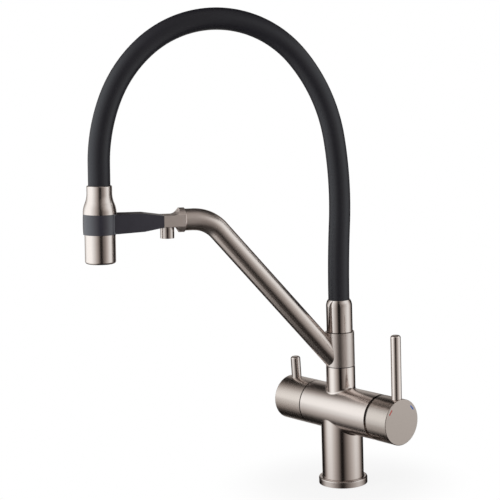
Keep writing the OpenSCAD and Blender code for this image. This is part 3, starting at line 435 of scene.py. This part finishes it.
def brazed_bead():
    """Thin round ring that lies on the tube, just before its end."""
    steps, sides = 96, 16
    along = upright_point(math.cos(TIP_SLOPE), math.sin(TIP_SLOPE))
    side = Vector((-math.sin(ARM_TURN), math.cos(ARM_TURN), 0))
    up = along.cross(side)
    centre = upright_point(TIP_REACH, TIP_Z) - BEAD_BACK * along
    shape = bmesh.new()
    rows = []
    for i in range(steps):
        turn = 2 * math.pi * i / steps
        out = math.cos(turn) * side + math.sin(turn) * up
        row = []
        for k in range(sides):
            spin = 2 * math.pi * k / sides
            off_axis = BEAD_R + BEAD_T * math.cos(spin)
            row.append(shape.verts.new(centre + off_axis * out + BEAD_T * math.sin(spin) * along))
        rows.append(row)
    join_rows(shape, rows, closed=True)
    bmesh.ops.recalc_face_normals(shape, faces=shape.faces)
    piece = smooth_piece("brazed_bead", shape)
    # The bead's nickel is painted lighter, as painted light.
    coat(piece, brushed_nickel("bead nickel", BLASTED, roughness=0.25, shade=1.20))
    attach(piece, "spout")


brazed_bead()


# Filter outlet. A short sleeve turned in brass, plated and brushed round, fixed under the tongue, where
# the filtered water comes out.
# Its nickel is painted darker, as painted shade.
coat(node["filter_outlet"], brushed_nickel("outlet nickel", ROUND_Z, shade=0.86))


# Filter aerator. An insert moulded in white acetal with a ring of holes, pressed into the mouth of
# that sleeve.
coat(node["filter_aerator"], white_acetal)


# Head holder. Arm and open ring moulded in one piece of black glass-filled nylon, with a fine
# spark-eroded grain all over.
coat(node["head_holder"], black_nylon)


# Holder screw. A small steel screw that goes up through the holder into the tenon and fixes the one
# on the other.
coat(node["holder_screw"], steel_on_z)


# Hose ferrule. Sleeve turned in brass, plated and brushed round, that the hose stands in; it is screwed
# into the top of the collar, and painted shade darkens the joint between them; its nickel is painted a
# little darker too.
FERRULE_EDGE = (0.1584, 0.1590)


def ferrule_joint_shade(place):
    """Mask of the painted shade at the ferrule's lower edge: 1 there."""
    return place.part("Z").fall(*FERRULE_EDGE)


coat(node["hose_ferrule"], brushed_nickel("ferrule nickel", ROUND_Z, roughness=0.14, shade=0.94,
                                          joint=ferrule_joint_shade))


# Hose tail at the riser. Tail turned in brass with three barbs, pushed into the end of the hose and
# hidden by it.
coat(node["riser_hose_tail"], brass_on_z)


# Hose tail seal. A flat washer punched from black rubber sheet, clamped under that tail.
# It keeps the mixed water in.
coat(node["hose_tail_seal"], black_rubber)


# Spout hose. Smooth black silicone over a spring, so that it stands in an arch by itself; one end is
# in the ferrule and the other in the neck of the spray head, and it bends when the head is lifted.
HOSE_R = 0.01075
HOSE_SIDES = 64
HOSE_STEP = 0.004
HOSE_FOOT = 0.16605
RING_REACH = 0.0826
RING_TOP = 0.00835
NECK_HEIGHT = 0.0473
HOSE_END_HEIGHT = 0.0081
# The arch is a row of arcs. The crown's radius isn't given, because it follows from the others.
TURNS = [math.radians(a) for a in (-3.7, 12.2, 31.0, 90.4, 27.0, 21.5)]
RADII = [1.185, 0.412, 0.166, None, 0.1275, 0.172]
SILICONE_DARK = (0.010, 0.0096, 0.0145, 1)
SILICONE_LIGHT = (0.015, 0.0144, 0.0215, 1)


def head_point(height):
    """Point on the spray head's axis above the top of the ring, as reach along the arm and height."""
    c, s = math.cos(TIP_SLOPE), math.sin(TIP_SLOPE)
    up = RING_TOP + height
    return Vector((TIP_REACH + RING_REACH * c - up * s, TIP_Z + RING_REACH * s + up * c))


def arc(heading, turn, radius):
    """Way from one end of an arc to the other; it starts at heading and bends outwards by turn."""
    return math.copysign(radius, turn) * Vector((math.sin(heading) - math.sin(heading - turn),
                                                 math.cos(heading - turn) - math.cos(heading)))


def hose_line():
    """Middle line of the hose, from its foot in the ferrule to its end inside the spray head."""
    foot_points, end_points, fewest = 7, 8, 4
    upwards = math.pi / 2
    headings = [upwards - sum(TURNS[:i]) for i in range(len(TURNS))]
    units = [arc(heading, turn, 1.0) for heading, turn in zip(headings, TURNS)]
    neck = head_point(NECK_HEIGHT)
    known = sum((r * unit for r, unit in zip(RADII, units) if r), Vector((0, 0)))
    over_crown = units[RADII.index(None)]
    crown_r = (neck.x - known.x) / over_crown.x
    here = Vector((0, neck.y - known.y - crown_r * over_crown.y))
    rise = here.y - HOSE_FOOT
    points = [Vector((0, HOSE_FOOT + rise * i / foot_points)) for i in range(foot_points)]
    for heading, turn, radius in zip(headings, TURNS, RADII):
        radius = radius or crown_r
        count = max(fewest, round(abs(turn) * radius / HOSE_STEP))
        points += [here + arc(heading, turn * i / count, radius) for i in range(count)]
        here = here + arc(heading, turn, radius)
    low = head_point(HOSE_END_HEIGHT)
    points += [here.lerp(low, i / end_points) for i in range(end_points + 1)]
    return [upright_point(p.x, p.y) for p in points]


def silicone_skin():
    material, surface, place = new_paint("black silicone", {"Specular IOR Level": 0.5})
    cloud = place.noise(scale=22.0, detail=3.0)
    grain = place.noise(scale=2200.0, detail=2.0)
    place.feed(surface.inputs["Base Color"], cloud.mix(SILICONE_DARK, SILICONE_LIGHT))
    place.feed(surface.inputs["Roughness"], 0.38 + 0.08 * cloud + 0.06 * grain)
    place.feed(surface.inputs["Normal"], grain.bump(strength=0.05, distance=0.0001))
    return material


def hose_tree(material):
    """Geometry Nodes that sweep a circle along a line; also gives the identifiers of its sizes."""
    tree = bpy.data.node_groups.new("Hose along a line", "GeometryNodeTree")
    face = tree.interface
    face.new_socket("Line", in_out="INPUT", socket_type="NodeSocketGeometry")
    radius = face.new_socket("Radius", in_out="INPUT", socket_type="NodeSocketFloat")
    sides = face.new_socket("Sides", in_out="INPUT", socket_type="NodeSocketInt")
    face.new_socket("Hose", in_out="OUTPUT", socket_type="NodeSocketGeometry")
    made = tree.nodes.new
    link = tree.links.new
    given, handed = made("NodeGroupInput"), made("NodeGroupOutput")
    to_curve, circle = made("GeometryNodeMeshToCurve"), made("GeometryNodeCurvePrimitiveCircle")
    sweep, smooth = made("GeometryNodeCurveToMesh"), made("GeometryNodeSetShadeSmooth")
    whole, painted = made("GeometryNodeRealizeInstances"), made("GeometryNodeSetMaterial")
    sweep.inputs["Fill Caps"].default_value = True
    painted.inputs["Material"].default_value = material
    link(given.outputs["Line"], to_curve.inputs["Mesh"])
    link(given.outputs["Radius"], circle.inputs["Radius"])
    link(given.outputs["Sides"], circle.inputs["Resolution"])
    link(to_curve.outputs["Curve"], sweep.inputs["Curve"])
    link(circle.outputs["Curve"], sweep.inputs["Profile Curve"])
    link(sweep.outputs["Mesh"], smooth.inputs["Geometry"])
    link(smooth.outputs["Geometry"], whole.inputs["Geometry"])
    link(whole.outputs["Geometry"], painted.inputs["Geometry"])
    link(painted.outputs["Geometry"], handed.inputs["Hose"])
    return tree, radius.identifier, sides.identifier


def swept_hose():
    """The hose as a plain mesh, and the points of its middle line."""
    line = hose_line()
    mesh = bpy.data.meshes.new("hose line")
    mesh.from_pydata(line, [(i, i + 1) for i in range(len(line) - 1)], [])
    guide = placed("hose line", mesh)
    skin = silicone_skin()
    tree, radius, sides = hose_tree(skin)
    sweep = guide.modifiers.new("Hose", "NODES")
    sweep.node_group = tree
    sweep[radius] = HOSE_R
    sweep[sides] = HOSE_SIDES
    bpy.context.view_layer.update()
    seen = guide.evaluated_get(bpy.context.evaluated_depsgraph_get())
    made = bpy.data.meshes.new_from_object(seen)
    made.name = "hose"
    bpy.data.objects.remove(guide)
    piece = placed("hose", made)
    coat(piece, skin)
    return piece, line


hose, middle = swept_hose()
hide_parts("spout_hose")
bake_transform(hose)


# Head bell. The flared neck of the spray head, spun and turned in brass, brushed round and plated; the
# hose goes into its mouth.
coat(node["head_bell"], brushed_nickel("bell nickel", ROUND_Z))


# Head shell. The straight barrel of the spray head, turned from brass tube with a rounded lower edge,
# brushed round and plated.
coat(node["head_shell"], brushed_nickel("shell nickel", ROUND_Z))


# Hose tail in the head. Tail turned in brass with barbs, which the hose is pushed onto inside the
# bell.
coat(node["head_hose_tail"], brass_on_z)


# Head seal. A flat washer punched from black rubber sheet, clamped between that tail and the
# shell.
coat(node["head_seal"], black_rubber)


# Spray nozzle. A plate with twelve jets, moulded in one piece of soft black plastic and pressed into
# the lower end of the shell.
coat(node["head_nozzle"], black_nylon)


# Cartridge carrier. Drum moulded in white acetal that turns in the housing for temperature and holds
# the pivot pin.
coat(node["cartridge_carrier"], white_acetal)


# Pivot pin. Hardened steel pin, ground round and pressed across the carrier, that the lever rocks
# on.
steel_on_x = turned_metal("steel turned on x", STEEL_DARK, STEEL_LIGHT, ROUND_X, STEEL_ROUGHNESS)
coat(node["pivot_pin"], steel_on_x)


# Disc driver. Slide moulded in white acetal that carries the moving disc across the fixed one; the ball
# of the stem pushes it.
coat(node["disc_driver"], white_acetal)


# Moving disc. Sintered alumina, lapped flat, with the mixing chamber in its lower face; it is set in
# the driver.
coat(node["moving_disc"], ceramic)


# Cartridge stem. Steel fork on the pivot pin, machined in one piece with the ball that pushes the
# driver; the cap goes over its outer end.
coat(node["cartridge_stem"], steel_on_x)


# Mixer cap. Turned knob over the cartridge, brushed round its side and sanded straight across its face,
# which is duller for it; as painted light its nickel is darker than plain and its face lighter than its
# side, and painted shade darkens the gap between its open end and the barrel.
MIXER_FACE_X, MIXER_RIM_X = 0.0853, 0.0577


def knob_nickel(name, face, rim, roughness, shade):
    """Nickel of a knob on X; face is the x of its flat end and rim that of its open one."""
    material, surface, place = new_paint(name, METAL)
    out = place.part("X") * (1 if face > 0 else -1)
    flat = out.rise(abs(face) - 0.0005, abs(face) - 0.0001)
    # Painted shade in the gap at the open end.
    joint_shade = out.fall(abs(rim) + 0.0006, abs(rim) + 0.0011)
    around, straight = brush_lines(place, ROUND_X), brush_lines(place, ROUND_Z)
    grain = around + flat * (straight - around)
    # Painted light: the flat face is made lighter than the side, and shade sets the whole knob lighter
    # or darker; the tint gives the knob its warmer colour.
    level = shade + 0.09 * flat
    warm_and_painted_light = place.make("ShaderNodeCombineXYZ", {}, {0: level, 1: 0.985 * level, 2: 0.96 * level})
    nickel_skin(surface, place, grain, roughness + 0.24 * flat, warm_and_painted_light, joint_shade)
    return material


coat(node["mixer_cap"], knob_nickel("mixer cap nickel", MIXER_FACE_X, MIXER_RIM_X, roughness=0.25,
                                    shade=0.715))


# Mixer lever. A plain round brass rod with a rounded top, brushed round and plated, screwed into the
# cap.
# Its nickel is painted a little lighter, as painted light.
coat(node["mixer_lever"], brushed_nickel("mixer lever nickel", ROUND_Z, shade=1.05))


# Grub screws. Socket set screws of hardened steel, one in each cap, that hold the caps on stem and
# spindle.
coat(node["mixer_grub_screw"], steel_on_z)
coat(node["filter_grub_screw"], steel_on_z)


# Hot and cold marks. Red and blue enamel, let into two shallow slots in the face of the cap and left
# to harden there.
def enamel(name, dark, light):
    return moulded(name, dark, light, roughness=0.30, grain_scale=700.0)


coat(node["hot_mark"], enamel("red enamel", (0.46, 0.045, 0.035), (0.56, 0.07, 0.055)))
coat(node["cold_mark"], enamel("blue enamel", (0.045, 0.11, 0.42), (0.06, 0.15, 0.52)))


# Filter spindle. Spindle turned in brass, with a drive tongue for the moving disc; the filter cap goes
# over its outer end.
coat(node["filter_spindle"], brass_on_x)


# Moving disc of the filter valve. Sintered alumina, lapped flat, with a quarter cut away; the tongue of
# the spindle turns it.
coat(node["filter_moving_disc"], ceramic)


# Filter cap. Turned knob on the other end of the barrel, brushed and sanded as the mixer cap is, with a
# dark joint at the barrel that is painted shade; its nickel is painted darker, as painted shade.
FILTER_FACE_X, FILTER_RIM_X = -0.0779, -0.0389
coat(node["filter_cap"], knob_nickel("filter cap nickel", FILTER_FACE_X, FILTER_RIM_X, roughness=0.27,
                                     shade=0.84))


# Filter lever. A short round brass rod with a domed end, brushed round and plated, screwed into the
# filter cap.
# Its nickel is painted darker, as painted shade.
coat(node["filter_lever"], brushed_nickel("filter lever nickel", ROUND_Z, shade=0.88))


# Camera. A long lens a little above the barrel, turned to the front corner of the tap and rolled by
# a small angle.
CAMERA_BEARING = math.radians(-39.783)
CAMERA_TILT = math.radians(7.786)
CAMERA_ROLL = math.radians(-1.873)
CAMERA_AWAY = 1.439915
CAMERA_TO_RIGHT, CAMERA_UP = -0.090089, 0.041342
AIM = Vector((0, 0, 0.2))


def aim_camera():
    flat = math.cos(CAMERA_TILT)
    east, north = math.cos(CAMERA_BEARING), math.sin(CAMERA_BEARING)
    back = Vector((flat * east, flat * north, math.sin(CAMERA_TILT)))
    level = Vector((-north, east, 0))
    upright = back.cross(level)
    c, s = math.cos(CAMERA_ROLL), math.sin(CAMERA_ROLL)
    right, up = c * level + s * upright, c * upright - s * level
    lens = bpy.data.cameras.new("camera")
    lens.sensor_width = 36
    lens.lens = 102.05
    lens.clip_end = 100
    camera = placed("camera", lens)
    stand = AIM + CAMERA_TO_RIGHT * right + CAMERA_UP * up + CAMERA_AWAY * back
    camera.matrix_world = Matrix.Translation(stand) @ Matrix((right, up, back)).transposed().to_4x4()
    bpy.context.scene.camera = camera


aim_camera()


# Studio. A white sheet for a floor, two large soft lamps at the sides, and a tent of graded cloth that
# only the metal mirrors: bright at both sides, paler low on the left and behind, dim overhead, and dark
# in a strip towards the camera.
WHITE = (1, 1, 1, 1)
ROOM_LIGHT = 0.6
FLOOR_HALF, FLOOR_Z = 6.0, -0.0004
FLOOR_SHADOW_REACH = (0.05, 0.14)
TENT_R, TENT_TALL, TENT_MIDDLE = 0.75, 2.4, 0.3
TENT_TURN = 6.3
LAMP_AWAY, LAMP_Z = 1.5, 0.75
LAMP_WIDE, LAMP_TALL = 0.9, 1.4


def seen_directly(tree):
    """1 for rays from the camera, a mirroring surface or glass."""
    path = tree.nodes.new("ShaderNodeLightPath")
    kinds = ("Is Camera Ray", "Is Glossy Ray", "Is Transmission Ray")
    first, second, third = (Sock(tree, path.outputs[kind]) for kind in kinds)
    return first.maths("MAXIMUM", first.maths("MAXIMUM", first, second), third)


def mix_shaders(tree, share, first, second, target):
    both = tree.nodes.new("ShaderNodeMixShader")
    tree.links.new(share.socket, both.inputs[0])
    tree.links.new(first.outputs[0], both.inputs[1])
    tree.links.new(second.outputs[0], both.inputs[2])
    tree.links.new(both.outputs[0], target.inputs["Surface"])


def white_world():
    world = bpy.data.worlds.new("white room")
    world.use_nodes = True
    bpy.context.scene.world = world
    tree = world.node_tree
    tree.nodes.clear()
    soft, plain = tree.nodes.new("ShaderNodeBackground"), tree.nodes.new("ShaderNodeBackground")
    for light, strength in ((soft, ROOM_LIGHT), (plain, 1.0)):
        light.inputs["Strength"].default_value = strength
        light.inputs["Color"].default_value = WHITE
    mix_shaders(tree, seen_directly(tree), soft, plain, tree.nodes.new("ShaderNodeOutputWorld"))


def white_floor():
    """Paper that shows white, with a share of its own shading left next to the tap for the shadow."""
    mesh = bpy.data.meshes.new("floor")
    h = FLOOR_HALF
    mesh.from_pydata([(-h, -h, FLOOR_Z), (h, -h, FLOOR_Z), (h, h, FLOOR_Z), (-h, h, FLOOR_Z)], [],
                     [(0, 1, 2, 3)])
    floor = placed("floor", mesh)
    floor.visible_glossy = False
    material, surface, place = new_paint("white sheet", {"Roughness": 0.9})
    tree = material.node_tree
    paper = place.noise(scale=300.0, detail=2.0)
    place.feed(surface.inputs["Base Color"], paper.mix((0.80, 0.80, 0.80, 1), (0.83, 0.83, 0.83, 1)))
    glow = tree.nodes.new("ShaderNodeEmission")
    away = place.make("ShaderNodeVectorMath", {"operation": "LENGTH"}, {0: place}, 1)
    share = seen_directly(tree) * (0.84 + 0.16 * away.rise(*FLOOR_SHADOW_REACH))
    mix_shaders(tree, share, surface, glow, tree.nodes["Material Output"])
    coat(floor, material)


def cloth_level(place):
    """How bright the tent is. Bearings are in degrees from the camera's side, heights in metres."""
    x, y, height = (place.part(axis) for axis in "XYZ")
    to_camera = x * math.cos(CAMERA_BEARING) + y * math.sin(CAMERA_BEARING)
    to_right = y * math.cos(CAMERA_BEARING) - x * math.sin(CAMERA_BEARING)
    rightward = place.maths("ARCTAN2", to_right, to_camera) * (180 / math.pi) + TENT_TURN
    leftward = 0.0 - rightward
    depth = 0.0 - height
    above_deck = height.rise(0.0, 0.12)

    left_end = leftward - 15.0 * above_deck
    near_top = height.rise(0.85, 1.35)
    far_top = height.rise(0.10, 1.20, smooth=False)
    left_top = near_top + leftward.rise(86.0, 108.0) * (far_top - near_top)
    left = leftward.rise(6.5, 62.0, smooth=False) * left_end.fall(76.0, 126.0) * (1.0 - left_top)
    left = left * (1.12 + 0.18 * height.rise(-0.06, 0.17))

    right_start = rightward + 7.0 - 5.0 * above_deck + 12.0 * height.rise(0.35, 0.55)
    right_end = rightward - 28.0 * height.rise(0.45, 0.70)
    right = right_start.rise(13.0, 84.0, smooth=False) * right_end.fall(86.0, 142.0)
    right = right * height.fall(0.85, 1.05)
    dim_start = rightward.rise(8.0, 16.0) * height.rise(0.1, 0.14) * rightward.fall(40.0, 70.0)
    right = place.maths("MAXIMUM", right, 0.22 * dim_start)
    walls = (left + 1.03 * right) * depth.fall(0.08, 0.62, smooth=False)

    ground = depth.rise(0.12, 0.22) * depth.fall(0.75, 0.88)
    ground = ground * leftward.rise(30.0, 50.0) * leftward.fall(92.0, 110.0)
    rear = place.maths("MAXIMUM", leftward.rise(150.0, 162.0), rightward.rise(170.0, 180.0))
    rear = rear * height.fall(0.40, 0.66) * depth.fall(0.3, 0.6)
    upper = height.rise(0.9, 1.2) * place.maths("ABSOLUTE", rightward).fall(110.0, 140.0)
    return 0.012 + place.maths("MAXIMUM", walls, 0.62 * ground) + 0.50 * rear + 0.22 * upper


def graded_tent():
    shape = bmesh.new()
    bmesh.ops.create_cone(shape, cap_ends=True, segments=96, radius1=TENT_R, radius2=TENT_R,
                          depth=TENT_TALL)
    bmesh.ops.translate(shape, verts=shape.verts, vec=(0, 0, TENT_MIDDLE))
    mesh = bpy.data.meshes.new("tent")
    shape.to_mesh(mesh)
    shape.free()
    tent = placed("tent", mesh)
    tent.visible_camera = False
    tent.visible_diffuse = False
    tent.visible_shadow = False
    material, surface, place = new_paint("graded cloth", {})
    tree = material.node_tree
    level = cloth_level(place)
    white = level.rise(0.0, 1.0, smooth=False)
    green, blue = level * (0.875 + 0.175 * white), level * (0.79 + 0.26 * white)
    cloth = place.make("ShaderNodeCombineColor", {}, {0: level, 1: green, 2: blue})
    glow = tree.nodes.new("ShaderNodeEmission")
    place.feed(glow.inputs["Color"], cloth)
    tree.links.new(glow.outputs[0], tree.nodes["Material Output"].inputs["Surface"])
    coat(tent, material)


def soft_lamp(name, angle, power):
    """A large lamp that doesn't show in the metal; angle is its bearing from the camera's side."""
    lamp = bpy.data.lights.new(name, "AREA")
    lamp.shape = "RECTANGLE"
    lamp.size, lamp.size_y = LAMP_WIDE, LAMP_TALL
    lamp.energy = power
    turn = CAMERA_BEARING + math.radians(angle)
    stand = placed(name, lamp)
    stand.location = (LAMP_AWAY * math.cos(turn), LAMP_AWAY * math.sin(turn), LAMP_Z)
    stand.rotation_euler = (AIM - stand.location).to_track_quat("-Z", "Y").to_euler()
    stand.visible_glossy = False


white_world()
white_floor()
graded_tent()
soft_lamp("left lamp", angle=-72, power=9.0)
soft_lamp("right lamp", angle=72, power=4.5)
bpy.context.scene.view_settings.view_transform = "Standard"
